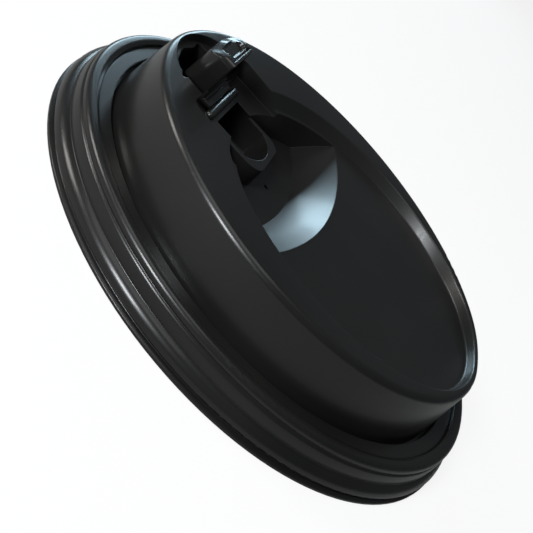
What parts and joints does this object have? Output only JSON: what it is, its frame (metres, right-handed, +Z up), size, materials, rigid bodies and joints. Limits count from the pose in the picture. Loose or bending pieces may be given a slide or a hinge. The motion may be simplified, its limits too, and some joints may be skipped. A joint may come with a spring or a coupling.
{
  "type": "hot drink cup lid",
  "caption": "Round press-on lid for a paper hot drink cup, with a raised dome, a nose recess and a hinged flap that plugs the sip hole.",
  "frame": {"origin": "centre of the flange's underside, on the lid's axis", "axes": "+Z up along the lid's axis, -X towards the sip hole, +Y across"},
  "size_m": [0.094, 0.094, 0.0216],
  "materials": {
    "black_plastic": "satin gloss",
    "black_plastic_tab": "satin gloss"
  },
  "bodies": {
    "lid": {"lid_body": "black_plastic"},
    "flap": {"sip_tab": "black_plastic_tab"}
  },
  "joints": [
    {"name": "flap_hinge", "type": "hinge", "parent": "lid", "child": "flap", "pos_m": [-0.02645, 0, 0.01375], "axis": [0, 1, 0], "range_deg": [-90, 90]}
  ]
}
